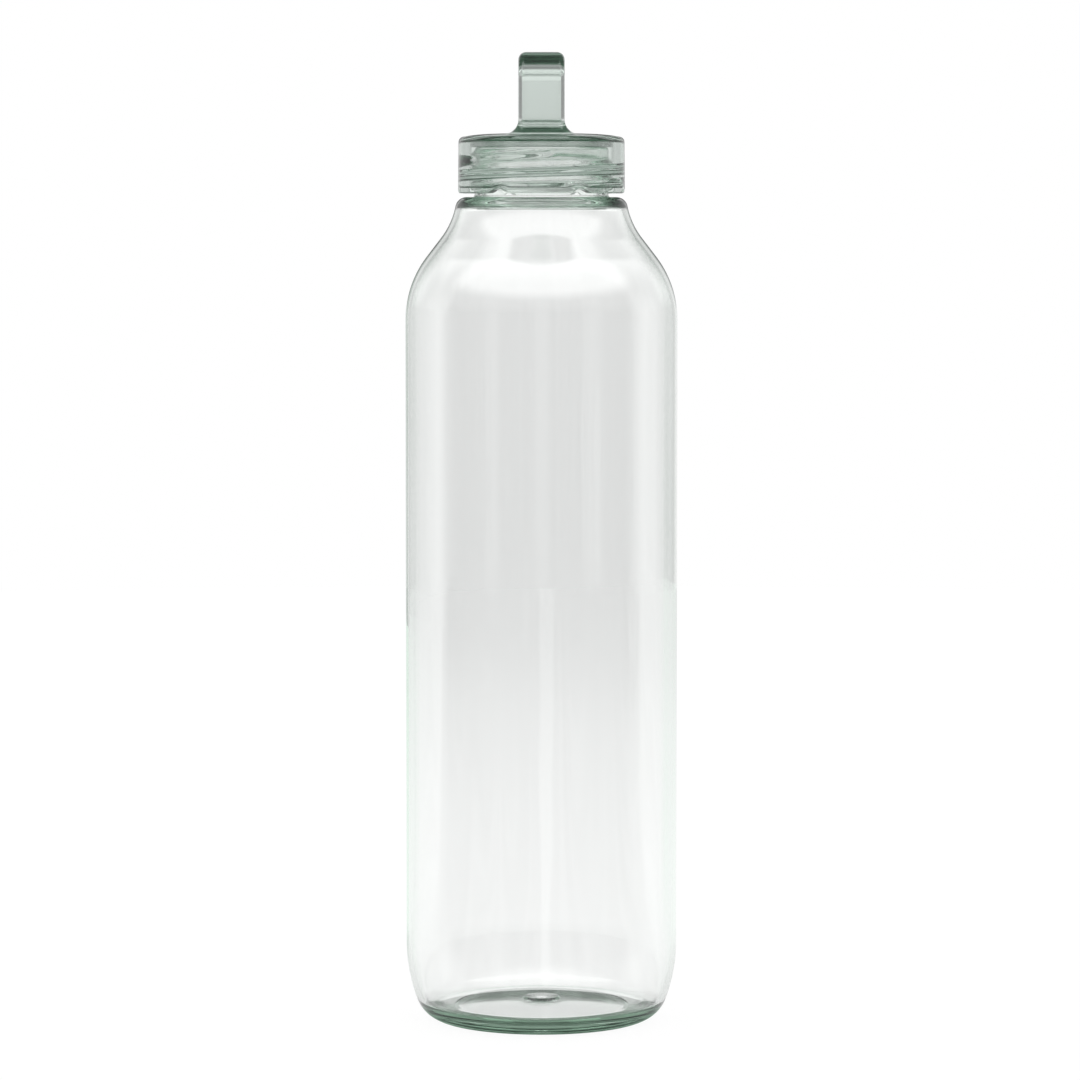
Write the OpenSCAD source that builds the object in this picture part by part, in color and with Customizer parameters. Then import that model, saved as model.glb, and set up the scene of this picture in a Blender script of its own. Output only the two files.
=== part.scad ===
// Clear one-litre water bottle with a screw cap that carries a loop handle.
// The bottle stands on Z = 0 with its axis on Z.  The handle's opening runs along X,
// so the wide face of the handle looks towards -Y.  All sizes are millimetres.

/* [Body] */
// Outside diameter of the straight body
body_d = 80; // [78:0.5:84]
// Thickness of the side wall and the shoulder
wall_t = 1.6; // [1.2:0.1:2]
// Height at which the straight body ends and the shoulder begins
shoulder_z = 207; // [190:1:215]
// Angle of the shoulder's cone from upright
shoulder_angle = 37.5; // [34:0.5:40]

/* [Base] */
// Radius of the small corner that meets the table
heel_corner_r = 10; // [8:0.5:12]
// Radius of the long curve from the small corner into the straight wall
heel_side_r = 50; // [40:1:60]
// Thickness of the floor at its rim
floor_t = 4.4; // [3.5:0.1:5]
// Rise of the hollow under the base
pushup_h = 2.2; // [1.5:0.1:2.8]
// Diameter of the hollow under the base
pushup_d = 50.8; // [46:0.2:52]

/* [Neck] */
// Diameter of the neck between its threads
neck_d = 39.3; // [39:0.1:39.6]
// Diameter of the hole through the neck
bore_d = 34.3; // [32:0.1:35]
// Height of the rim above the ledge
neck_h = 14.4; // [14.2:0.1:16]
// Thickness of the flat ledge under the cap
ledge_t = 2.5; // [2:0.1:3]

/* [Thread] */
// Rise of the screw thread in one turn
pitch = 4.2; // [4:0.1:4.4]
// Turns of thread on the neck
neck_turns = 2.4; // [1.5:0.1:2.5]
// Turns of thread in the cap
cap_turns = 1.9; // [1:0.1:2.1]

/* [Cap] */
// Outside diameter of the cap at its open end
cap_d = 48.9; // [48:0.1:52]
// Thickness of the cap's top plate
plate_t = 2.5; // [2.2:0.1:3]
// Gap between the closed cap and the ledge
cap_gap = 1.1; // [0.8:0.1:1.6]
// Number of arched notches in the lower edge of the skirt
notches = 6; // [4:1:8]
// Height of one notch
notch_h = 1.3; // [0.8:0.1:1.6]

/* [Handle loop] */
// Width of the loop's band
loop_w = 13.4; // [11:0.2:16]
// Thickness of the loop's band
loop_t = 4.8; // [4:0.1:5.5]
// Distance across the loop from front to back
loop_depth = 34; // [30:1:36]
// Height of the loop above the crown of the cap
loop_h = 23.5; // [20:0.1:28]
// Outside radius of the loop's two bends
loop_bend_r = 8; // [6:0.5:12]
// Rounding of the band's long edges
loop_edge_r = 2.2; // [1:0.1:2.3]

/* [Gasket] */
// Thickness of the gasket under the top plate
gasket_t = 1.7; // [1.2:0.1:2]
// Inside diameter of the gasket
gasket_bore_d = 33.4; // [33:0.1:33.8]

/* [Hidden] */
$fn = 128;

bottle_tint = [0.86, 0.91, 0.88];
cap_tint = [0.80, 0.88, 0.83];
gasket_tint = [0.90, 0.92, 0.91];

// Body and shoulder.  Two arcs and a cone join the wall to the ledge.
body_r = body_d / 2;
convex_r = 30.8;
concave_r = 22.6;
cone_length = 6.9;
heel_turn = 20;
convex_c = [body_r - convex_r, shoulder_z];
cone_dir = [-sin(shoulder_angle), cos(shoulder_angle)];
cone_normal = [cos(shoulder_angle), sin(shoulder_angle)];
concave_c = convex_c + (convex_r + concave_r) * cone_normal + cone_length * cone_dir;
ledge_drop = 1.9;
ledge_z = concave_c[1] - ledge_drop;
ledge_corner_r = 3.3;
ledge_inside_r = 1.5;

// Base
stand_r = body_r - heel_side_r * (1 - cos(heel_turn)) - heel_corner_r * cos(heel_turn);
heel_z = heel_side_r * sin(heel_turn) + heel_corner_r * (1 - sin(heel_turn));
pushup_r = pushup_d / 2;
pushup_edge = 0.6;
pushup_slope = 1;
inside_r = body_r - wall_t;
inside_side_r = heel_side_r - wall_t;
inside_corner_r = 4.2;
floor_rise = 1.9;
floor_r = inside_r - inside_side_r * (1 - cos(heel_turn)) - inside_corner_r * cos(heel_turn);
inside_heel_z = floor_t + inside_side_r * sin(heel_turn) + inside_corner_r * (1 - sin(heel_turn));
gate_r = 5.6;
gate_h = 0.5;
gate_slope = 0.6;
gate_z = floor_t + floor_rise + gate_h;
gate_well_r = 3;
gate_mark_r = 1.4;
gate_mark_h = 0.3;
gate_mark_slope = 0.4;

// Neck finish
neck_r = neck_d / 2;
bore_r = bore_d / 2;
rim_z = ledge_z + neck_h;
rim_r = 0.8;
root_chamfer = 0.4;
lip_h = 1;
lip_r = neck_r - 0.5;
lip_chamfer = 0.3;
under_z = ledge_z - ledge_t;

// Thread: a flat-topped ridge on the neck, and a slimmer one in the cap just below it
thread_h = 1.25;
neck_thread_r = neck_r + thread_h;
neck_thread_w = [2.2, 1];
neck_thread_top = rim_z - 1.3;
neck_thread_top_angle = 285;
cap_bore_r = neck_thread_r + 0.4;
cap_thread_r = neck_r + 0.45;
cap_thread_w = [2, 0.8];
cap_thread_drop = 1.5;
thread_sink = 0.5;
cap_thread_top_angle = 225;
run_out = 30;
steps_per_turn = 40;

// Cap
cap_r = cap_d / 2;
cap_draft = 0.15;
cap_bottom_z = ledge_z + cap_gap;
plate_z = rim_z + gasket_t;
crown_z = plate_z + plate_t;
crown_rise = 0.9;
cap_corner_r = 1.6;
boss_gap = 0.15;
boss_r = gasket_bore_d / 2 - boss_gap;
boss_t = 1.2;
boss_h = 0.6;
boss_chamfer = 0.2;
mouth_relief = 0.4;
mouth_r = cap_bore_r + mouth_relief;
mouth_h = 1.6;
outer_chamfer = 0.5;
inner_chamfer = 0.3;
notch_w = 8;
notch_angle = -61.5;

// Gap around the gasket in the cap
gasket_gap = 0.4;

// Loop
loop_top_z = crown_z + loop_h;
loop_foot_r = 4;
loop_foot_z = crown_z - crown_rise;
foot_sink = 1;
foot_bite = 0.15;

// Points along an arc about c, from angle a0 to angle a1
function arc(c, r, a0, a1, n = 12) =
    [for (i = [0:n]) let (a = a0 + (a1 - a0) * i / n) c + r * [cos(a), sin(a)]];

// Centre of a corner of radius r that touches the level line z and the concave arc of radius big
function corner_centre(z, r, big) =
    [concave_c[0] - sqrt(pow(big + r, 2) - pow(concave_c[1] - z + r, 2)), z - r];

// Angle from that corner's centre to the concave arc's centre
function corner_angle(c) = atan2(concave_c[1] - c[1], concave_c[0] - c[0]);

// Outside of the wall from the hollow under the base up to the ledge, then the neck
function outside_outline() =
    let (corner = corner_centre(ledge_z, ledge_corner_r, concave_r), turn = corner_angle(corner))
    concat(
        [[0, pushup_h - gate_mark_h], [gate_mark_r - gate_mark_slope, pushup_h - gate_mark_h]],
        [[gate_mark_r, pushup_h], [gate_well_r, pushup_h]],
        [for (i = [1:10]) let (t = i / 10)
            [gate_well_r + (pushup_r - pushup_slope - gate_well_r) * t,
             pushup_edge + (pushup_h - pushup_edge) * (1 - t * t)]],
        [[pushup_r, 0]],
        arc([stand_r, heel_corner_r], heel_corner_r, -90, -heel_turn),
        arc([body_r - heel_side_r, heel_z], heel_side_r, -heel_turn, 0),
        arc(convex_c, convex_r, 0, shoulder_angle),
        arc(concave_c, concave_r, 180 + shoulder_angle, 180 + turn),
        arc(corner, ledge_corner_r, turn, 90),
        [[neck_r + root_chamfer, ledge_z], [neck_r, ledge_z + root_chamfer]],
        arc([neck_r - rim_r, rim_z - rim_r], rim_r, 0, 90, 5)
    );

// Inside of the wall from the rim down to the middle of the floor
function inside_outline() =
    let (corner = corner_centre(under_z, ledge_inside_r, concave_r + wall_t), turn = corner_angle(corner))
    concat(
        arc([bore_r + rim_r, rim_z - rim_r], rim_r, 90, 180, 5),
        [[bore_r, under_z - lip_h + lip_chamfer], [bore_r + lip_chamfer, under_z - lip_h]],
        [[lip_r - lip_chamfer, under_z - lip_h], [lip_r, under_z]],
        arc(corner, ledge_inside_r, 90, turn, 6),
        arc(concave_c, concave_r + wall_t, 180 + turn, 180 + shoulder_angle),
        arc(convex_c, convex_r - wall_t, shoulder_angle, 0),
        arc([inside_r - inside_side_r, inside_heel_z], inside_side_r, 0, -heel_turn),
        arc([floor_r, floor_t + inside_corner_r], inside_corner_r, -heel_turn, -90),
        [for (i = [1:8]) let (t = 1 - i / 8 * (1 - gate_r / floor_r))
            [floor_r * t, floor_t + floor_rise * (1 - t * t)]],
        [[gate_r - gate_slope, gate_z], [0, gate_z]]
    );

// Share of its full height that a thread has at angle a of its length: it rises and falls over run_out
function fade(a, length) = min(1, a / run_out, (length - a) / run_out);

// A screw ridge with a flat top.  It stands from base_r towards tip_r and sinks into the wall at both ends.
// widths = [width at base_r, width at tip_r].  It starts at height z and angle a, and goes down.
module screw_ridge(base_r, tip_r, widths, z, a, turns) {
    sink = base_r < tip_r ? -thread_sink : thread_sink;
    slope = (widths[0] - widths[1]) / abs(tip_r - base_r);
    foot_w = widths[0] + 2 * abs(sink) * slope / 2;
    length = 360 * turns;
    count = round(steps_per_turn * turns);
    rings = [for (i = [0:count])
        let (t = length * i / count, share = fade(t, length),
             foot_r = base_r + sink, top_r = base_r + sink * 0.6 + (tip_r - base_r - sink * 0.6) * share,
             top_w = foot_w + (widths[1] - foot_w) * (top_r - foot_r) / (tip_r - foot_r),
             mid = z - pitch * t / 360)
        [for (p = [[foot_r, -foot_w / 2], [top_r, -top_w / 2], [top_r, top_w / 2], [foot_r, foot_w / 2]])
            [p[0] * cos(a - t), p[0] * sin(a - t), mid + p[1]]]];
    outward = base_r < tip_r;
    sides = [for (i = [0:count - 1], k = [0:3])
        let (p = 4 * i + k, q = 4 * i + (k + 1) % 4)
        each outward ? [[p, q + 4, q], [p, p + 4, q + 4]] : [[p, q, q + 4], [p, q + 4, p + 4]]];
    last = 4 * count;
    ends = outward ? [[0, 1, 2, 3], [last + 3, last + 2, last + 1, last]]
                   : [[3, 2, 1, 0], [last, last + 1, last + 2, last + 3]];
    polyhedron([for (ring = rings) each ring], concat(sides, ends));
}

// The bottle, blown in one piece with its neck and thread
module bottle() {
    color(bottle_tint) {
        rotate_extrude() polygon(concat(outside_outline(), inside_outline()));
        screw_ridge(neck_r, neck_thread_r, neck_thread_w, neck_thread_top, neck_thread_top_angle, neck_turns);
    }
}

// Height of the neck thread's middle at an angle, near its top turn
function neck_thread_z(a) = neck_thread_top - pitch * (neck_thread_top_angle - a) / 360;

// Skirt, domed top plate and the boss that centres the gasket, as a half section
function cap_outline() =
    let (edge_r = cap_r - cap_draft, dome_r = edge_r - cap_corner_r, dome_z = crown_z - crown_rise)
    concat(
        [[0, plate_z], [boss_r - boss_t, plate_z], [boss_r - boss_t, plate_z - boss_h]],
        [
            [boss_r - boss_chamfer, plate_z - boss_h],
            [boss_r, plate_z - boss_h + boss_chamfer],
            [boss_r, plate_z]
        ],
        [[cap_bore_r, plate_z], [cap_bore_r, cap_bottom_z + mouth_h]],
        [[mouth_r, cap_bottom_z + mouth_h - mouth_relief]],
        [[mouth_r, cap_bottom_z + inner_chamfer], [mouth_r + inner_chamfer, cap_bottom_z]],
        [[cap_r - outer_chamfer, cap_bottom_z], [cap_r, cap_bottom_z + outer_chamfer]],
        arc([dome_r, dome_z - cap_corner_r], cap_corner_r, 0, 85, 8),
        [for (i = [7:-1:1]) [dome_r * i / 8, crown_z - crown_rise * pow((i - 1) / 7, 2)]],
        [[0, crown_z]]
    );

// One arched notch, cut through the skirt from below
module notch_cutter() {
    r = (pow(notch_w / 2, 2) + pow(notch_h, 2)) / (2 * notch_h);
    translate([cap_bore_r - 1, 0, cap_bottom_z + notch_h - r]) rotate([0, 90, 0])
        cylinder(r = r, h = cap_r - cap_bore_r + 2);
}

// Section of the loop's band: thickness along x, width along y
module band_section() {
    x = loop_t / 2 - loop_edge_r;
    y = loop_w / 2 - loop_edge_r;
    polygon(concat(
        arc([x, y], loop_edge_r, 0, 90, 8),
        arc([-x, y], loop_edge_r, 90, 180, 8),
        arc([-x, -y], loop_edge_r, 180, 270, 8),
        arc([x, -y], loop_edge_r, 270, 360, 8)
    ));
}

// Concave corner between a leg and the top plate.  It starts inside the leg and inside the plate.
module foot_profile(grip) {
    polygon(concat(
        [[-grip, -foot_sink], [loop_foot_r - foot_bite, -foot_sink]],
        arc([loop_foot_r - foot_bite, loop_foot_r], loop_foot_r, 270, 180, 10),
        [[-grip, loop_foot_r]]
    ));
}

// Flared foot around an upright leg
module foot_flare() {
    x = loop_t / 2 - loop_edge_r;
    y = loop_w / 2 - loop_edge_r;
    for (side = [0, 1]) mirror([side, 0, 0])
        translate([loop_t / 2, y, 0]) rotate([90, 0, 0]) linear_extrude(2 * y) foot_profile(loop_t / 4);
    for (end = [0, 1]) mirror([0, end, 0]) {
        translate([-x, loop_w / 2, 0]) rotate([90, 0, 90]) linear_extrude(2 * x) foot_profile(loop_t / 4);
        for (side = [0, 1]) mirror([side, 0, 0])
            translate([x, y, 0]) rotate_extrude(angle = 90)
                translate([loop_edge_r, 0]) foot_profile(loop_edge_r / 2);
    }
}

// Handle loop, arched over the cap from front to back
module loop_handle() {
    leg_y = (loop_depth - loop_t) / 2;
    bend_y = loop_depth / 2 - loop_bend_r;
    bend_z = loop_top_z - loop_bend_r;
    root_z = loop_foot_z - foot_sink;
    for (end = [0, 1]) mirror([0, end, 0]) {
        translate([0, leg_y, root_z]) linear_extrude(bend_z - root_z) rotate(90) band_section();
        translate([0, leg_y, loop_foot_z]) rotate(90) foot_flare();
        translate([0, bend_y, bend_z]) rotate([90, 0, 90]) rotate_extrude(angle = 90)
            translate([loop_bend_r - loop_t / 2, 0]) band_section();
    }
    translate([0, bend_y, loop_top_z - loop_t / 2]) rotate([90, 90, 0])
        linear_extrude(2 * bend_y) band_section();
}

// Screw cap and its loop, moulded in one piece
module cap() {
    color(cap_tint) {
        difference() {
            rotate_extrude() polygon(cap_outline());
            for (i = [1:notches]) rotate(notch_angle + 360 * i / notches) notch_cutter();
        }
        screw_ridge(cap_bore_r, cap_thread_r, cap_thread_w,
                    neck_thread_z(cap_thread_top_angle) - cap_thread_drop, cap_thread_top_angle, cap_turns);
        loop_handle();
    }
}

// Flat silicone ring between the rim and the top plate
module gasket() {
    outer_r = cap_bore_r - gasket_gap;
    inner_r = gasket_bore_d / 2;
    chamfer = 0.25;
    color(gasket_tint) rotate_extrude() polygon([
        [inner_r, rim_z + chamfer], [inner_r + chamfer, rim_z],
        [outer_r - chamfer, rim_z], [outer_r, rim_z + chamfer],
        [outer_r, plate_z - chamfer], [outer_r - chamfer, plate_z],
        [inner_r + chamfer, plate_z], [inner_r, plate_z - chamfer]
    ]);
}

bottle();
cap();
gasket();
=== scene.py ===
"""Looks for the clear loop-cap water bottle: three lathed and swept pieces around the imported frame.

The object's lengths are in millimetres until a mesh is written, which is in metres.  The stage and the camera
are in metres, and the scales of the patterns count per metre.  The bottle stands on z = 0 with its axis on Z,
and the gap in the handle's loop runs along X.
"""

import math

import bmesh
import bpy
import numpy as np
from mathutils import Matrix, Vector
from mathutils.geometry import delaunay_2d_cdt


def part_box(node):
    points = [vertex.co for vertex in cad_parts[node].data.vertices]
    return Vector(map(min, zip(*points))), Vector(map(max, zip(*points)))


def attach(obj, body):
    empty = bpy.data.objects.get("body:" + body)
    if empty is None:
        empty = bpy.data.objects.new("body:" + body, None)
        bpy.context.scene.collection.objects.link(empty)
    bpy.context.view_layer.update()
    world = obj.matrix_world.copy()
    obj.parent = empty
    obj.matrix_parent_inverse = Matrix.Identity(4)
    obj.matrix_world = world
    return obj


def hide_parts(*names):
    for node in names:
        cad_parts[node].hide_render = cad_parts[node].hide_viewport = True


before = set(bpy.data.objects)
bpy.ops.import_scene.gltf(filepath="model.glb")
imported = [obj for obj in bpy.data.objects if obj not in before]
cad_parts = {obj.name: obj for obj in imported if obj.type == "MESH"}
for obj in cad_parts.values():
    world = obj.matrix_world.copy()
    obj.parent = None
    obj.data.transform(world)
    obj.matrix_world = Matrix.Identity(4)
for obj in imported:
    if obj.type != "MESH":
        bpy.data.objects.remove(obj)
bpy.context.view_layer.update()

MM = 0.001
SEGMENTS = 240
SHARP_ANGLE = 40

# Heights and radii that the frame gives
body_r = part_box("bottle")[1].x / MM
rim_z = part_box("bottle")[1].z / MM
cap_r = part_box("cap")[1].x / MM
cap_bottom_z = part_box("cap")[0].z / MM
loop_top_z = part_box("cap")[1].z / MM
gasket_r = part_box("gasket")[1].x / MM
plate_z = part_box("gasket")[1].z / MM

# Body and shoulder
wall_t = 1.6
shoulder_z = 207.0
shoulder_angle = 37.5
convex_r = 30.8
concave_r = 22.6
cone_length = 6.9

# Neck finish
neck_r = 19.65
bore_r = 17.15
neck_h = 14.4
ledge_z = rim_z - neck_h
ledge_t = 2.5
ledge_corner_r = 3.3
ledge_inside_r = 1.5
lip_h = 1.0
lip_r = neck_r - 0.5
rim_round = 0.8
root_round = 0.5

# Base
heel_side_r = 50.0
heel_corner_r = 10.0
heel_turn = 20.0
floor_t = 4.4
floor_rise = 1.9
inside_side_r = heel_side_r - wall_t
inside_corner_r = 4.2
pushup_r = 25.4
pushup_h = 2.2
pushup_edge = 0.6
gate_r = 5.6
gate_h = 0.5
gate_well_r = 3.0
gate_dimple_r = 1.2
gate_dimple_h = 0.3

# Unevenness of the blown inner wall: (depth, waves round the wall, phase) of each set of upright streaks, the
# levels between which it shows, and the length over which it fades out at both ends
wall_streaks = ((0.045, 7, 0.4), (0.03, 13, 1.9), (0.02, 23, 0.7))
waves_from = 14.0
waves_to = 232.0
waves_fade = 30.0

# Thread
pitch = 4.2
neck_thread = {"h": 1.25, "root_w": 2.2, "crest_w": 1.0, "top": rim_z - 1.3, "start": 285.0, "turns": 2.4}
cap_bore_r = neck_r + neck_thread["h"] + 0.4
cap_thread_start = 225.0
cap_thread_drop = 1.5
cap_thread = {
    "h": cap_bore_r - neck_r - 0.45, "root_w": 2.0, "crest_w": 0.8, "start": cap_thread_start, "turns": 1.9,
    "top": neck_thread["top"] - pitch * (neck_thread["start"] - cap_thread_start) / 360 - cap_thread_drop,
}
thread_row = 0.2
run_out = 60.0
flank_foot = 0.85
flank_crest = 0.1

# Cap
plate_t = 2.5
crown_z = plate_z + plate_t
crown_rise = 0.9
crown_power = 5.0
cap_draft = 0.15
cap_corner_r = 1.6
dome_r = cap_r - cap_draft - cap_corner_r
boss_r = 16.55
boss_t = 1.2
boss_h = 0.6
mouth_relief = 0.4
mouth_h = 1.6
notches = 6
notch_w = 8.0
notch_h = 1.3
notch_angle = -61.5
notch_reach = 3.5
dome_step = 1.0
dome_spacing = 1.2

# Handle loop
loop_w = 13.4
loop_t = 4.8
loop_depth = 34.0
loop_bend_r = 8.0
loop_edge_r = 2.2
loop_foot_r = 4.0

# Gasket
gasket_bore_r = 16.7
seal_gap = 0.04

# Patterns in the plastic: how many of each go to a metre
patch_scale = 34.0
rub_scale = 420.0
scuff_scale = 520.0
peel_scale = 700.0

# Stage
camera_x = -0.00044
camera_y = -1.4
camera_z = 0.241
aim_z = 0.1423
table_r = 1.6
table_drop = 0.0002

# Surroundings: how bright and what colour they are to light that the plastic has mirrored never, twice or
# more often, and the painted shade, dim and green, that the table glows with right under the bottle
straight_level = 0.91
twice_level = 0.52
deep_level = 0.38
painted_shade_level = 0.22
backdrop_level = 0.94
WHITE = (1.0, 1.0, 1.0, 1.0)
TWICE_TINT = (0.90, 1.0, 0.94, 1.0)
DEEP_TINT = (0.78, 1.0, 0.86, 1.0)
PAINTED_SHADE_TINT = (0.60, 1.0, 0.74, 1.0)


def arc(centre, r, start, end, step=3.0):
    """Points along an arc in the half section, about `step` degrees apart."""
    n = max(2, int(math.ceil(abs(end - start) / step)))
    angles = np.radians(np.linspace(start, end, n + 1))
    return [(centre[0] + r * math.cos(a), centre[1] + r * math.sin(a)) for a in angles]


def straight(a, b, step):
    """Points from a to b, both included, about `step` apart."""
    n = max(1, int(math.ceil(math.dist(a, b) / step)))
    return [(a[0] + (b[0] - a[0]) * i / n, a[1] + (b[1] - a[1]) * i / n) for i in range(n + 1)]


def tidy(points, least=1e-4):
    """The outline without repeated points."""
    kept = [points[0]]
    for p in points[1:]:
        if math.dist(p, kept[-1]) > least:
            kept.append(p)
    return np.array(kept)


def round_corner(before, corner, after, r, step=15.0):
    """Points that replace a corner of the outline by an arc of radius r."""
    c = np.array(corner)
    u = np.array(before) - c
    v = np.array(after) - c
    u /= np.linalg.norm(u)
    v /= np.linalg.norm(v)
    half = 0.5 * math.acos(float(np.clip(u @ v, -1, 1)))
    reach = r / math.tan(half)
    start, end = c + u * reach, c + v * reach
    middle = c + (u + v) / np.linalg.norm(u + v) * (r / math.sin(half))
    a0 = math.atan2(*(start - middle)[::-1])
    sweep = (math.atan2(*(end - middle)[::-1]) - a0 + math.pi) % (2 * math.pi) - math.pi
    n = max(2, int(math.ceil(abs(math.degrees(sweep)) / step)))
    turns = [a0 + sweep * i / n for i in range(n + 1)]
    return [(middle[0] + r * math.cos(t), middle[1] + r * math.sin(t)) for t in turns]


def rounded(points, r):
    """An open outline with every inner corner rounded by r, or by its own radius where r is a list."""
    out = [points[0]]
    for i in range(1, len(points) - 1):
        size = r[i - 1] if isinstance(r, (list, tuple)) else r
        if size > 0:
            out += round_corner(points[i - 1], points[i], points[i + 1], size)
        else:
            out.append(points[i])
    out.append(points[-1])
    return out


# ---------------------------------------------------------------- outlines

slope = math.radians(shoulder_angle)
convex_c = (body_r - convex_r, shoulder_z)
concave_c = (
    convex_c[0] + (convex_r + concave_r) * math.cos(slope) - cone_length * math.sin(slope),
    convex_c[1] + (convex_r + concave_r) * math.sin(slope) + cone_length * math.cos(slope),
)


def shoulder_corner(z, r, big):
    """Centre of a corner of radius r between level z and the concave arc, and the angle to that arc."""
    x = concave_c[0] - math.sqrt((big + r) ** 2 - (concave_c[1] - z + r) ** 2)
    centre = (x, z - r)
    return centre, math.degrees(math.atan2(concave_c[1] - centre[1], concave_c[0] - x))


def bottle_outside():
    """From the middle of the base up the outside to the rim."""
    side = math.radians(heel_turn)
    stand_r = body_r - heel_side_r * (1 - math.cos(side)) - heel_corner_r * math.cos(side)
    heel_z = heel_side_r * math.sin(side) + heel_corner_r * (1 - math.sin(side))
    corner, turn = shoulder_corner(ledge_z, ledge_corner_r, concave_r)
    hollow_w = pushup_r - 1 - gate_well_r
    hollow_h = pushup_h - pushup_edge
    hollow = [
        (gate_well_r + hollow_w * t, pushup_edge + hollow_h * (1 - t * t)) for t in np.linspace(0.02, 1, 24)
    ]
    dimple_z = pushup_h - gate_dimple_h
    base = rounded(
        [(0, dimple_z), (gate_dimple_r, dimple_z), (gate_dimple_r + 0.4, pushup_h), (gate_well_r, pushup_h)],
        0.2,
    )
    ring = rounded([hollow[-2], hollow[-1], (pushup_r, 0), (stand_r, 0)], [0.4, 0.3])
    heel = arc((stand_r, heel_corner_r), heel_corner_r, -90, -heel_turn, 3)
    heel += arc((body_r - heel_side_r, heel_z), heel_side_r, -heel_turn, 0, 1.5)
    side_wall = straight((body_r, heel_z), (body_r, shoulder_z), 12)
    shoulder = arc(convex_c, convex_r, 0, shoulder_angle, 1.8)
    shoulder += arc(concave_c, concave_r, 180 + shoulder_angle, 180 + turn, 2)
    shoulder += arc(corner, ledge_corner_r, turn, 90, 5)
    root = round_corner(shoulder[-1], (neck_r, ledge_z), (neck_r, rim_z), root_round)
    neck = straight(root[-1], (neck_r, rim_z - rim_round), thread_row)
    rim = arc((neck_r - rim_round, rim_z - rim_round), rim_round, 0, 90, 10)
    return base + hollow[:-1] + ring[1:] + heel + side_wall + shoulder + root + neck + rim


def bottle_inside():
    """From the rim down the inside to the middle of the floor."""
    inside_r = body_r - wall_t
    side = math.radians(heel_turn)
    floor_r = inside_r - inside_side_r * (1 - math.cos(side)) - inside_corner_r * math.cos(side)
    heel_z = floor_t + inside_side_r * math.sin(side) + inside_corner_r * (1 - math.sin(side))
    under_z = ledge_z - ledge_t
    corner, turn = shoulder_corner(under_z, ledge_inside_r, concave_r + wall_t)
    rim = arc((bore_r + rim_round, rim_z - rim_round), rim_round, 90, 180, 10)
    lip = rounded(
        [rim[-1], (bore_r, under_z - lip_h), (lip_r, under_z - lip_h), (lip_r, under_z),
         (corner[0], under_z)],
        [0.3, 0.3, 0.25],
    )
    shoulder = arc(corner, ledge_inside_r, 90, turn, 8)
    shoulder += arc(concave_c, concave_r + wall_t, 180 + turn, 180 + shoulder_angle, 2)
    shoulder += arc(convex_c, convex_r - wall_t, shoulder_angle, 0, 1.8)
    side_wall = straight((inside_r, shoulder_z), (inside_r, heel_z), 6)
    heel = arc((inside_r - inside_side_r, heel_z), inside_side_r, 0, -heel_turn, 1.5)
    heel += arc((floor_r, floor_t + inside_corner_r), inside_corner_r, -heel_turn, -90, 3)
    dome = [(floor_r * t, floor_t + floor_rise * (1 - t * t)) for t in np.linspace(1, gate_r / floor_r, 24)]
    gate_z = floor_t + floor_rise + gate_h
    gate = rounded([dome[-1], (gate_r - 0.5, gate_z), (0, gate_z)], 0.35)
    return rim + lip[1:] + shoulder + side_wall + heel + dome[1:-1] + gate


def cap_skirt():
    """From the dome's edge down the outside, round the open end and up the bore to the plate's middle."""
    edge_r = cap_r - cap_draft
    dome_z = crown_z - crown_rise
    mouth_r = cap_bore_r + mouth_relief
    corner = arc((dome_r, dome_z - cap_corner_r), cap_corner_r, 86, 0, 6)
    corner[0] = (dome_r, dome_z)
    skirt = straight((edge_r, dome_z - cap_corner_r), (cap_r, cap_bottom_z + 0.5), 2)
    lower = rounded(
        [skirt[-1], (cap_r, cap_bottom_z), (mouth_r, cap_bottom_z), (mouth_r, cap_bottom_z + mouth_h),
         (cap_bore_r, cap_bottom_z + mouth_h + mouth_relief), (cap_bore_r, plate_z - 3)],
        [0.45, 0.35, 0.2, 0.2],
    )
    bore = straight(lower[-2], (cap_bore_r, plate_z - 0.6), thread_row)
    under = rounded(
        [bore[-1], (cap_bore_r, plate_z), (boss_r, plate_z), (boss_r, plate_z - boss_h),
         (boss_r - boss_t, plate_z - boss_h), (boss_r - boss_t, plate_z), (0, plate_z)],
        [0.3, 0.15, 0.2, 0.2, 0.2],
    )
    return corner + skirt[1:] + lower[1:-1] + bore[1:] + under[1:]


def gasket_outline():
    """Closed section of the gasket, a hair thinner than its groove."""
    low, high = rim_z + seal_gap, plate_z - seal_gap
    inner, outer = gasket_bore_r, gasket_r
    middle = 0.5 * (inner + outer)
    return rounded(
        [(middle, high), (inner, high), (inner, low), (outer, low), (outer, high), (middle, high)], 0.3
    )


# ---------------------------------------------------------------- meshes

def smooth01(x):
    """A smooth step from 0 to 1 as x goes from 0 to 1."""
    x = np.clip(x, 0, 1)
    return x * x * (3 - 2 * x)


def ridge(theta, z, thread):
    """Height of a screw ridge at angle theta (degrees) and height z, from 0 to the ridge's own height.

    Its flanks are rounded.  On each side of the ridge's middle they run from the share flank_foot of the foot's
    width in to the share flank_crest of the crest's width.  Both ends run out over run_out degrees.
    """
    length = 360 * thread["turns"]
    foot = flank_foot * thread["root_w"]
    crest = flank_crest * thread["crest_w"]
    along0 = np.mod(thread["start"] - theta, 360)
    best = np.zeros_like(z)
    for turn in range(int(math.ceil(thread["turns"])) + 1):
        along = along0 + 360 * turn
        offset = np.abs(z - (thread["top"] - pitch * along / 360))
        flank = (foot - offset) / (foot - crest)
        share = np.minimum(along / run_out, (length - along) / run_out)
        best = np.maximum(best, smooth01(flank) * smooth01(share))
    return best * thread["h"]


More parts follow.
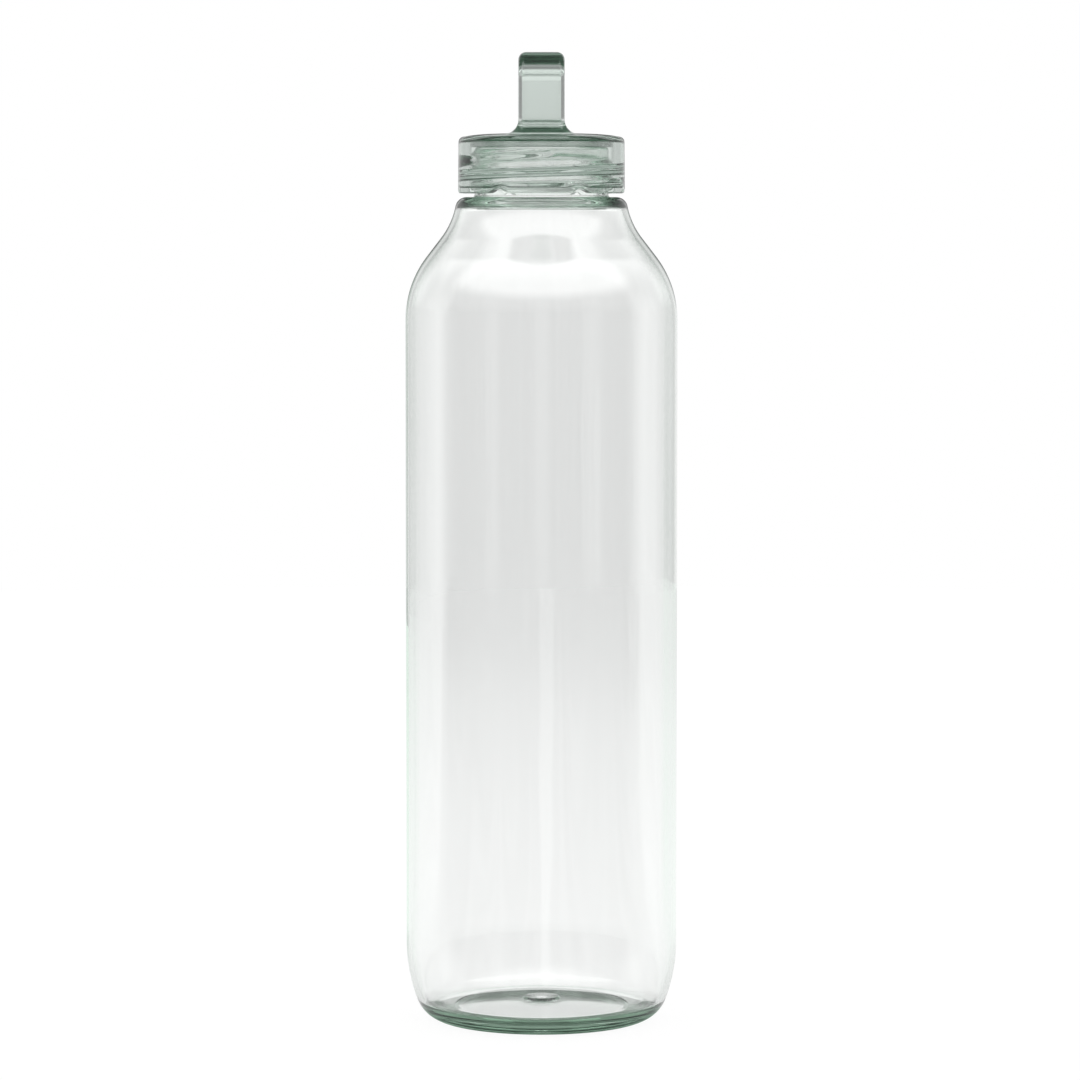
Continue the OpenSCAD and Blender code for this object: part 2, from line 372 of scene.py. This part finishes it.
def revolve(outline, reshape=None, closed=False):
    """Vertices and faces of an outline turned about Z.  Points on the axis become one vertex each."""
    pts = tidy(outline)
    if closed:
        pts = pts[:-1]
    theta = np.linspace(0, 360, SEGMENTS, endpoint=False)
    verts, faces, rings = [], [], []
    for r, z in pts:
        if r < 1e-6:
            rings.append([len(verts)])
            verts.append((0.0, 0.0, z))
            continue
        rr, zz = np.full(SEGMENTS, r), np.full(SEGMENTS, z)
        if reshape is not None:
            rr, zz = reshape(theta, rr, zz)
        rings.append(list(range(len(verts), len(verts) + SEGMENTS)))
        a = np.radians(theta)
        verts += list(zip(rr * np.cos(a), rr * np.sin(a), zz))
    pairs = list(zip(rings, rings[1:]))
    if closed:
        pairs.append((rings[-1], rings[0]))
    for low, high in pairs:
        for i in range(SEGMENTS):
            j = (i + 1) % SEGMENTS
            if len(low) == 1:
                faces.append((low[0], high[j], high[i]))
            elif len(high) == 1:
                faces.append((low[i], low[j], high[0]))
            else:
                faces.append((low[i], low[j], high[j], high[i]))
    return verts, faces, rings


def make_object(name, verts, faces):
    """A smooth-shaded mesh object in metres, with its sharp edges kept crisp."""
    mesh = bpy.data.meshes.new(name)
    mesh.from_pydata([(x * MM, y * MM, z * MM) for x, y, z in verts], [], faces)
    mesh.validate()
    mesh.polygons.foreach_set("use_smooth", np.ones(len(mesh.polygons), bool))
    mesh.set_sharp_from_angle(angle=math.radians(SHARP_ANGLE))
    mesh.update()
    obj = bpy.data.objects.new(name, mesh)
    bpy.context.scene.collection.objects.link(obj)
    return obj


def wall_waves(theta, z):
    """Slow unevenness of the blown inner wall: long upright streaks and swells that fade out at both ends."""
    a = np.radians(theta)
    streaks = sum(height * np.sin(count * a + phase) for height, count, phase in wall_streaks)
    long_swell = 0.04 * np.sin(2 * math.pi * z / 95 + 1.1 * np.sin(2 * a))
    short_swell = 0.02 * np.sin(2 * math.pi * z / 41 + a)
    share = smooth01((z - waves_from) / waves_fade) * smooth01((waves_to - z) / waves_fade)
    return (streaks + (long_swell + short_swell)) * share


def bottle_piece():
    """The bottle: its section turned about Z, with the neck's screw ridge and the inner wall's unevenness."""
    def reshape(theta, r, z):
        if abs(r[0] - neck_r) < 1e-6 and z[0] > ledge_z:
            r = r + ridge(theta, z, neck_thread)
        elif on_inside(r[0], z[0]):
            r = r + wall_waves(theta, z)
        return r, z

    verts, faces, _ = revolve(bottle_outside() + bottle_inside(), reshape)
    return make_object("bottle_body", verts, faces)


def outer_radius(z):
    """Radius of the outside of the body and shoulder at height z."""
    if z < shoulder_z:
        return body_r
    end = convex_c[1] + convex_r * math.sin(slope)
    if z <= end:
        return convex_c[0] + math.sqrt(convex_r ** 2 - (z - convex_c[1]) ** 2)
    low = concave_c[1] - concave_r * math.sin(slope)
    if z <= low:
        return convex_c[0] + convex_r * math.cos(slope) - (z - end) * math.tan(slope)
    return concave_c[0] - math.sqrt(concave_r ** 2 - (z - concave_c[1]) ** 2)


def on_inside(r, z):
    """True for a point well within the outside, at a height where the wall is uneven."""
    return waves_from < z < waves_to and r < outer_radius(z) - wall_t / 2


def dome_height(x, y):
    """Height of the cap's domed top at a point of its plan."""
    t = np.hypot(x, y) / dome_r
    return crown_z - crown_rise * t ** crown_power


def band_section(per_corner=10, per_side=6):
    """Points and outward normals of the band's section, thickness along the first axis, width the second."""
    a = loop_t / 2 - loop_edge_r
    b = loop_w / 2 - loop_edge_r
    points, normals = [], []
    for k, (sa, sb) in enumerate(((1, 1), (-1, 1), (-1, -1), (1, -1))):
        for i in range(per_corner + 1):
            t = math.radians(90 * k + 90 * i / per_corner)
            normals.append((math.cos(t), math.sin(t)))
            points.append((sa * a + loop_edge_r * math.cos(t), sb * b + loop_edge_r * math.sin(t)))
        if k in (1, 3):
            side = 1 if k == 3 else -1
            for i in range(1, per_side):
                points.append((side * loop_t / 2, -side * (b - 2 * b * i / per_side)))
                normals.append((side, 0))
    return np.array(points), np.array(normals)


def loop_path():
    """Rings of the band from foot to foot: centre (y, z) and the outward direction of its thickness."""
    leg_y = (loop_depth - loop_t) / 2
    bend_y = loop_depth / 2 - loop_bend_r
    bend_z = loop_top_z - loop_bend_r
    r = loop_bend_r - loop_t / 2
    up = [((leg_y, z), (1, 0)) for z in np.linspace(crown_z + loop_foot_r + 0.6, bend_z, 8)[:-1]]
    bend = []
    for t in np.radians(np.linspace(0, 90, 19)):
        bend.append(((bend_y + r * math.cos(t), bend_z + r * math.sin(t)), (math.cos(t), math.sin(t))))
    across = [((y, bend_z + r), (0, 1)) for y in np.linspace(bend_y, 0, 6)[1:]]
    half = up + bend + across
    other = [((-c[0], c[1]), (-n[0], n[1])) for c, n in reversed(half[:-1])]
    return half + other


def notch_lift(theta, z):
    """How far the notches lift the skirt at angle theta: in full at its lower edge, none notch_reach up."""
    spacing = 360 / notches
    off = np.mod(theta - notch_angle + spacing / 2, spacing) - spacing / 2
    along = np.clip(np.radians(off) * cap_r / notch_w, -0.5, 0.5)
    share = np.clip(1 - (z - cap_bottom_z) / notch_reach, 0, 1)
    return notch_h * np.cos(math.pi * along) ** 2 * share


def cap_piece():
    """The cap: a turned skirt with its screw ridge and notches, the loop's band, its feet and the dome."""
    def reshape(theta, r, z):
        if abs(r[0] - cap_bore_r) < 1e-6:
            r = r - ridge(theta, z, cap_thread)
        return r, z + notch_lift(theta, z)

    verts, faces, rings = revolve(cap_skirt(), reshape)
    edge = rings[0]
    section, normals = band_section()
    count = len(section)

    # Band
    band_rings = []
    for (cy, cz), (ny, nz) in loop_path():
        band_rings.append(list(range(len(verts), len(verts) + count)))
        for a, b in section:
            verts.append((b, cy + a * ny, cz + a * nz))
    for low, high in zip(band_rings, band_rings[1:]):
        for i in range(count):
            j = (i + 1) % count
            faces.append((low[i], low[j], high[j], high[i]))

    # Feet: rings that leave the leg upright and meet the dome level
    feet = []
    leg_y = (loop_depth - loop_t) / 2
    for side, top in ((1, band_rings[0]), (-1, band_rings[-1])):
        previous = top
        for psi in np.radians(np.linspace(180, 270, 15)):
            d = loop_foot_r * (1 + math.cos(psi))
            h = loop_foot_r * (1 + math.sin(psi))
            ring = list(range(len(verts), len(verts) + count))
            for (a, b), (na, nb) in zip(section, normals):
                x = b + d * nb
                y = side * (leg_y + a + d * na)
                verts.append((x, y, float(dome_height(x, y)) + h))
            for i in range(count):
                j = (i + 1) % count
                quad = (previous[i], previous[j], ring[j], ring[i])
                faces.append(quad if side < 0 else quad[::-1])
            previous = ring
        feet.append(previous)

    # Dome: a flat triangulation between the cap's edge and the two feet, lifted to the dome's height
    def inside_foot(x, y, grow):
        """True within a foot's outline grown by `grow`."""
        qa = abs(abs(y) - leg_y) - (loop_t / 2 - loop_edge_r)
        qb = abs(x) - (loop_w / 2 - loop_edge_r)
        reach = loop_edge_r + loop_foot_r + grow
        return math.hypot(max(qa, 0), max(qb, 0)) < reach and max(qa, qb) < reach

    outline = edge + feet[0] + feet[1]
    flat = [Vector(verts[i][:2]) for i in outline]
    edges, start = [], 0
    for ring in (edge, feet[0], feet[1]):
        n = len(ring)
        edges += [(start + i, start + (i + 1) % n) for i in range(n)]
        start += n
    for r in np.arange(dome_step, dome_r - 0.7, dome_step):
        n = int(max(8, round(2 * math.pi * r / dome_spacing)))
        for i in range(n):
            t = 2 * math.pi * (i + 0.5 * (int(r) % 2)) / n
            x, y = r * math.cos(t), r * math.sin(t)
            if not inside_foot(x, y, 0.5):
                flat.append(Vector((x, y)))
    out_verts, _, out_faces, origin, _, _ = delaunay_2d_cdt(flat, edges, [], 1, 1e-6)
    index = []
    for k, v in enumerate(out_verts):
        old = [o for o in origin[k] if o < len(outline)]
        if old:
            index.append(outline[old[0]])
        else:
            index.append(len(verts))
            verts.append((v.x, v.y, float(dome_height(v.x, v.y))))
    for f in out_faces:
        cx = sum(out_verts[i].x for i in f) / len(f)
        cy = sum(out_verts[i].y for i in f) / len(f)
        if not inside_foot(cx, cy, -0.05):
            faces.append(tuple(index[i] for i in f))
    return make_object("screw_cap", verts, faces)


def gasket_piece():
    """The gasket: a plain ring with rounded edges."""
    verts, faces, _ = revolve(gasket_outline(), closed=True)
    return make_object("gasket_ring", verts, faces)


def turn_outwards(obj):
    """Turns all faces outwards, and prints what shows whether the mesh is closed."""
    bm = bmesh.new()
    bm.from_mesh(obj.data)
    bmesh.ops.recalc_face_normals(bm, faces=bm.faces)
    bm.to_mesh(obj.data)
    open_edges = [e for e in bm.edges if not e.is_manifold]
    volume = bm.calc_volume(signed=True)
    bm.free()
    print(obj.name, "faces", len(obj.data.polygons), "open edges", len(open_edges), "cm3", volume * 1e6)


bottle = bottle_piece()
cap = cap_piece()
gasket = gasket_piece()
for piece in (bottle, cap, gasket):
    turn_outwards(piece)

# ---------------------------------------------------------------- materials


def feed(nt, socket, value):
    """Puts a number or a link into a socket."""
    if isinstance(value, (int, float, tuple)):
        socket.default_value = value
    else:
        nt.links.new(value, socket)


def calc(nt, kind, a, b=0.0, c=0.0):
    """One step of arithmetic."""
    node = nt.nodes.new("ShaderNodeMath")
    node.operation = kind
    for socket, value in zip(node.inputs, (a, b, c)):
        feed(nt, socket, value)
    return node.outputs[0]


def ramp(nt, x, low, high, start, end):
    """A smooth change from start, where x is at or under low, to end, where it is at or over high."""
    node = nt.nodes.new("ShaderNodeMapRange")
    node.interpolation_type = "SMOOTHSTEP"
    names = ("Value", "From Min", "From Max", "To Min", "To Max")
    for name, value in zip(names, (x, low, high, start, end)):
        feed(nt, node.inputs[name], value)
    return node.outputs[0]


def mix(nt, share, a, b):
    """a where share is 0, b where it is 1."""
    rest = calc(nt, "SUBTRACT", 1.0, share)
    return calc(nt, "ADD", calc(nt, "MULTIPLY", rest, a), calc(nt, "MULTIPLY", share, b))


def mix_colour(nt, share, a, b):
    """Colour a where share is 0, colour b where it is 1."""
    node = nt.nodes.new("ShaderNodeMix")
    node.data_type = "RGBA"
    feed(nt, node.inputs["Factor"], share)
    for socket, value in ((node.inputs[6], a), (node.inputs[7], b)):
        feed(nt, socket, value)
    return node.outputs[2]


def noise(nt, place, scale, detail=3.0, rough=0.5):
    """Cloudy values about 0.5."""
    node = nt.nodes.new("ShaderNodeTexNoise")
    nt.links.new(place, node.inputs["Vector"])
    node.inputs["Scale"].default_value = scale
    node.inputs["Detail"].default_value = detail
    node.inputs["Roughness"].default_value = rough
    return node.outputs["Fac"]


def stretched(nt, place, x, y, z):
    """Coordinates scaled along each axis, so that a pattern runs along the axis with the least."""
    node = nt.nodes.new("ShaderNodeVectorMath")
    node.operation = "MULTIPLY"
    nt.links.new(place, node.inputs[0])
    node.inputs[1].default_value = (x, y, z)
    return node.outputs[0]


def clear_plastic(name, absorb, ior=1.57, haze=(0.0, 0.02), flow=0.03, flow_scale=(60.0, 60.0, 9.0),
                  grain=0.0004, wear_z=None, wear=0.12):
    """Clear moulded plastic: its colour comes from its depth.

    flow is the height in millimetres of slow waves from moulding, grain that of the fine orange peel.
    haze is the range of roughness that handling leaves in patches, and wear that of the scuffed zone that
    fades out over the two heights in wear_z.
    """
    m = bpy.data.materials.new(name)
    m.use_nodes = True
    nt = m.node_tree
    bsdf = nt.nodes["Principled BSDF"]
    out = nt.nodes["Material Output"]
    bsdf.inputs["Base Color"].default_value = (1, 1, 1, 1)
    bsdf.inputs["Transmission Weight"].default_value = 1.0
    bsdf.inputs["IOR"].default_value = ior
    volume = nt.nodes.new("ShaderNodeVolumeAbsorption")
    density = max(absorb) * 1.25
    volume.inputs["Density"].default_value = density
    volume.inputs["Color"].default_value = (*[1 - a / density for a in absorb], 1)
    nt.links.new(volume.outputs[0], out.inputs["Volume"])

    place = nt.nodes.new("ShaderNodeTexCoord").outputs["Object"]
    split = nt.nodes.new("ShaderNodeSeparateXYZ")
    nt.links.new(place, split.inputs[0])

    # Handling haze in soft patches, with short fine rubs inside them
    patches = ramp(nt, noise(nt, place, patch_scale, 2.0), 0.50, 0.74, 0.0, 1.0)
    rubs = noise(nt, stretched(nt, place, 1.0, 1.0, 6.0), rub_scale, 5.0, 0.65)
    rubs = ramp(nt, rubs, 0.52, 0.70, 0.35, 1.0)
    roughness = mix(nt, calc(nt, "MULTIPLY", patches, rubs), haze[0], haze[1])
    if wear_z:
        scuffs = noise(nt, stretched(nt, place, 1.0, 1.0, 3.0), scuff_scale, 6.0, 0.7)
        scuffs = ramp(nt, scuffs, 0.42, 0.62, 0.1, 1.0)
        low = ramp(nt, split.outputs["Z"], wear_z[0] * MM, wear_z[1] * MM, 1.0, 0.0)
        roughness = mix(nt, calc(nt, "MULTIPLY", low, scuffs), roughness, wear)
    nt.links.new(roughness, bsdf.inputs["Roughness"])

    # Slow waves along the way the plastic flowed, and a fine orange peel on top
    waves = noise(nt, stretched(nt, place, *flow_scale), 1.0, 2.0, 0.4)
    peel = noise(nt, place, peel_scale, 2.0, 0.5)
    height = calc(nt, "ADD", calc(nt, "MULTIPLY", waves, flow * MM), calc(nt, "MULTIPLY", peel, grain * MM))
    bump = nt.nodes.new("ShaderNodeBump")
    bump.inputs["Strength"].default_value = 1.0
    bump.inputs["Distance"].default_value = 1.0
    nt.links.new(height, bump.inputs["Height"])
    nt.links.new(bump.outputs[0], bsdf.inputs["Normal"])
    return m


bottle.data.materials.append(clear_plastic("clear_body", (10.5, 7.0, 9.4), flow=0.014, wear_z=(0.4, 3.0)))
cap.data.materials.append(clear_plastic(
    "clear_cap", (45.0, 34.5, 40.5), haze=(0.004, 0.03), flow=0.004, flow_scale=(110.0, 110.0, 110.0)
))
gasket.data.materials.append(clear_plastic(
    "clear_seal", (30.0, 26.0, 28.0), ior=1.41, haze=(0.22, 0.34), flow=0.02,
    flow_scale=(300.0, 300.0, 300.0), grain=0.004,
))

for piece, body, node, slot in (
    (bottle, "bottle", "bottle", "clear_body"),
    (cap, "cap", "cap", "clear_cap"),
    (gasket, "seal", "gasket", "clear_seal"),
):
    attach(piece, body)
    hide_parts(node)

# ---------------------------------------------------------------- stage, light and camera

def bounced_depth(nt):
    """Light path outputs, and flags for light mirrored at least once, twice and three times."""
    path = nt.nodes.new("ShaderNodeLightPath").outputs
    once = calc(nt, "MINIMUM", path["Glossy Depth"], 1.0)
    twice = calc(nt, "GREATER_THAN", path["Glossy Depth"], 1.5)
    often = calc(nt, "GREATER_THAN", path["Glossy Depth"], 2.5)
    return path, once, twice, often


def streaks(nt, x, y):
    """Faint light streaks from the lamp's folds, painted light on the table, along lines that fan out from y =
    0, and those lines' slope.
    """
    fan = nt.nodes.new("ShaderNodeCombineXYZ")
    slope = calc(nt, "DIVIDE", x, calc(nt, "MAXIMUM", y, 0.05))
    nt.links.new(slope, fan.inputs[0])
    return ramp(nt, noise(nt, fan.outputs[0], 260.0, 2.0), 0.3, 0.7, 0.98, 1.02), slope


def paper_light(nt, bsdf):
    """Makes the table glow as much as the light that meets it calls for.

    Straight light finds it white, a little dimmer with distance as painted falloff, with faint painted light
    streaks from the lamp's folds and one painted highlight line.  Light mirrored once finds it bright behind
    the bottle and dark in front, a painted reflection.  Right under the bottle it is dim and green to all
    mirrored light, painted shade in place of the bottle's shadow.  Light mirrored twice finds it slightly green
    near the bottle, and light mirrored more often finds all of it green, dim near the bottle as painted shade.
    """
    path, once, twice, often = bounced_depth(nt)
    place = nt.nodes.new("ShaderNodeSeparateXYZ")
    nt.links.new(nt.nodes.new("ShaderNodeNewGeometry").outputs["Position"], place.inputs[0])
    x, y, _ = place.outputs
    far = calc(nt, "SQRT", calc(nt, "ADD", calc(nt, "MULTIPLY", x, x), calc(nt, "MULTIPLY", y, y)))

    # Painted highlight: a brighter line in the table's glow along a line fanning out from below the camera,
    # which light seen straight through the bottle shows as an upright highlight.
    highlight_line_slope, highlight_line_core, highlight_line_edge, highlight_line_gain = 0.0012, 0.0006, 0.0018, 0.07
    # Painted light: the table's glow carries the lamp's faint streaks along lines fanning out from below the
    # camera.
    fold_light_streaks, slope = streaks(nt, x, calc(nt, "SUBTRACT", y, camera_y))
    highlight_line = calc(nt, "ABSOLUTE", calc(nt, "SUBTRACT", slope, highlight_line_slope))
    highlight_line = calc(nt, "MULTIPLY", ramp(nt, highlight_line, highlight_line_core, highlight_line_edge, 1.0, 0.0), highlight_line_gain)
    # Painted falloff: to straight light the table's glow dims with distance from the bottle.
    plain = ramp(nt, far, 0.2, 1.5, 0.93, straight_level - 0.08)
    straight_on = calc(nt, "MULTIPLY", plain, calc(nt, "ADD", fold_light_streaks, highlight_line))

    # Painted reflection: to light the plastic has mirrored once, the table glows dark in front of the bottle
    # and bright behind it.
    front = calc(nt, "ADD", ramp(nt, far, 0.2, 1.5, 0.46, 0.0), ramp(nt, far, 0.06, 0.25, 0.35, 0.0))
    back = ramp(nt, far, 0.1, 1.5, 0.92, 0.74)
    mirrored = mix(nt, ramp(nt, y, -0.02, 0.06, 0.0, 1.0), front, back)
    # Painted shade: right under the bottle the table glows dim and green to light the plastic has mirrored, in
    # place of the bottle's shadow; to light mirrored more often the glow stays dim out to a quarter metre.
    under = ramp(nt, far, 0.028, 0.044, 1.0, 0.0)

    level = mix(nt, once, straight_on, mix(nt, under, mirrored, painted_shade_level))
    level = mix(nt, twice, level, mix(nt, under, 0.72, painted_shade_level))
    level = mix(nt, often, level, ramp(nt, far, 0.05, 0.25, painted_shade_level, 0.9))
    level = mix(nt, path["Is Camera Ray"], level, backdrop_level)
    nt.links.new(level, bsdf.inputs["Emission Strength"])

    # Painted shade colour: green right under the bottle to light mirrored once, and near it to light mirrored
    # twice.
    tint = mix_colour(nt, calc(nt, "MULTIPLY", under, once), WHITE, PAINTED_SHADE_TINT)
    twice_tint = mix_colour(nt, ramp(nt, far, 0.1, 0.3, 0.0, 1.0), TWICE_TINT, WHITE)
    tint = mix_colour(nt, twice, tint, twice_tint)
    nt.links.new(mix_colour(nt, often, tint, DEEP_TINT), bsdf.inputs["Emission Color"])


def white_floor():
    """A round white table top."""
    corners = 96
    turns = [2 * math.pi * i / corners for i in range(corners)]
    mesh = bpy.data.meshes.new("floor")
    mesh.from_pydata(
        [(table_r * math.cos(t), table_r * math.sin(t), 0) for t in turns], [], [tuple(range(corners))]
    )
    floor = bpy.data.objects.new("floor", mesh)
    bpy.context.scene.collection.objects.link(floor)
    m = bpy.data.materials.new("floor_paper")
    m.use_nodes = True
    bsdf = m.node_tree.nodes["Principled BSDF"]
    bsdf.inputs["Base Color"].default_value = (0.08, 0.08, 0.08, 1)
    bsdf.inputs["Roughness"].default_value = 1.0
    bsdf.inputs["Specular IOR Level"].default_value = 0.0
    paper_light(m.node_tree, bsdf)
    mesh.materials.append(m)
    floor.location.z = -table_drop


def folds(nt, azimuth, count, low, high, start, end):
    """A ramp that repeats `count` times round the room."""
    wave = calc(nt, "COSINE", calc(nt, "MULTIPLY", azimuth, count))
    return ramp(nt, wave, low, high, start, end)


def white_flats(nt, x, y, z, corners):
    """The flats as seen straight through the plastic: brighter above the table's edge, dim high up."""
    flats = mix(nt, ramp(nt, z, -0.08, 0.04, 0.0, 1.0), 1.0, corners)
    sky = ramp(nt, z, 0.25, 0.70, 1.0, 0.35)
    fold_light_streaks, _ = streaks(nt, x, y)
    bright_top = ramp(nt, z, 0.0, 0.06, straight_level, 1.22)
    return calc(nt, "MULTIPLY", calc(nt, "MULTIPLY", flats, sky), calc(nt, "MULTIPLY", fold_light_streaks, bright_top))


def mirrored_room(nt, x, y, z, azimuth, corners):
    """What one reflection sees: in front a dark room, strip lamps and a ring softbox, behind the flats."""
    strips = folds(nt, azimuth, 8.0, 0.2, 1.0, 0.0, 0.22)
    strips = calc(nt, "MULTIPLY", strips, ramp(nt, z, 0.35, 0.45, 1.0, 0.0))
    ring = calc(nt, "MULTIPLY", ramp(nt, z, 0.36, 0.60, 0.0, 1.0), ramp(nt, z, 0.905, 0.93, 1.0, 0.2))
    room = calc(nt, "ADD", 0.02, calc(nt, "ADD", strips, calc(nt, "MULTIPLY", ring, 2.0)))

    # A dark rail along the flat behind the bottle, which the cap's plate mirrors
    rail = calc(nt, "MULTIPLY", ramp(nt, z, -0.01, 0.02, 0.0, 1.0), ramp(nt, z, 0.14, 0.22, 1.0, 0.0))
    rail = calc(nt, "MULTIPLY", rail, ramp(nt, calc(nt, "ABSOLUTE", x), 0.12, 0.35, 1.0, 0.0))
    above = ramp(nt, z, 0.12, 0.50, 1.0, 0.25)
    behind = calc(nt, "MULTIPLY", above, mix(nt, 0.3, 1.0, corners))
    behind = calc(nt, "MULTIPLY", behind, calc(nt, "MULTIPLY_ADD", rail, -0.88, 1.0))
    return mix(nt, ramp(nt, y, -0.15, 0.2, 0.0, 0.94), room, behind)


def studio_world():
    """A white studio: four broad flats round the table, a ring softbox above it, and a dark room in front.

    What is seen straight through the plastic is the white flats, with dark gaps at the four corners.  One
    reflection sees the flats behind the bottle or the dark room and its lamps in front.  Light that has been
    reflected more often has lost itself in the thick parts: it finds six lamps in a room that is dimmer and
    greener the more often it was reflected.
    """
    world = bpy.data.worlds.new("studio")
    bpy.context.scene.world = world
    world.use_nodes = True
    world.cycles.sampling_method = "NONE"
    nt = world.node_tree
    nt.nodes.clear()
    out = nt.nodes.new("ShaderNodeOutputWorld")
    background = nt.nodes.new("ShaderNodeBackground")
    nt.links.new(background.outputs[0], out.inputs[0])
    path, once, twice, often = bounced_depth(nt)
    direction = nt.nodes.new("ShaderNodeSeparateXYZ")
    nt.links.new(nt.nodes.new("ShaderNodeTexCoord").outputs["Generated"], direction.inputs[0])
    x, y, z = direction.outputs
    azimuth = calc(nt, "ARCTAN2", y, x)
    corners = folds(nt, azimuth, 4.0, -0.35, 0.15, 0.30, 1.0)
    lamps = calc(nt, "MULTIPLY", ramp(nt, z, 0.50, 0.60, 0.0, 1.0), ramp(nt, z, 0.76, 0.82, 1.0, 0.0))
    lamps = calc(nt, "MULTIPLY", lamps, folds(nt, azimuth, 6.0, -0.2, 0.2, 0.0, 1.0))

    level = mix(nt, once, white_flats(nt, x, y, z, corners), mirrored_room(nt, x, y, z, azimuth, corners))
    level = mix(nt, twice, level, calc(nt, "MULTIPLY_ADD", lamps, 1.3, twice_level))
    level = mix(nt, often, level, calc(nt, "MULTIPLY_ADD", lamps, 0.8, deep_level))
    level = mix(nt, calc(nt, "MINIMUM", path["Diffuse Depth"], 1.0), level, 1.0)
    level = mix(nt, path["Is Camera Ray"], level, 1.0)
    nt.links.new(level, background.inputs["Strength"])
    tint = mix_colour(nt, often, mix_colour(nt, twice, WHITE, TWICE_TINT), DEEP_TINT)
    nt.links.new(tint, background.inputs["Color"])


def photo_camera():
    """A long lens in front of the bottle and a little above its middle."""
    data = bpy.data.cameras.new("camera")
    camera = bpy.data.objects.new("camera", data)
    bpy.context.scene.collection.objects.link(camera)
    data.sensor_width = 36
    data.lens = 158.7
    data.clip_end = 50
    camera.location = (camera_x, camera_y, camera_z)
    aim = Vector((camera_x, 0, aim_z))
    camera.rotation_euler = (aim - camera.location).to_track_quat("-Z", "Y").to_euler()
    bpy.context.scene.camera = camera


white_floor()
studio_world()
photo_camera()

scene = bpy.context.scene
scene.view_settings.view_transform = "Standard"
scene.cycles.max_bounces = 40
scene.cycles.transmission_bounces = 40
scene.cycles.glossy_bounces = 16
scene.cycles.use_denoising = True
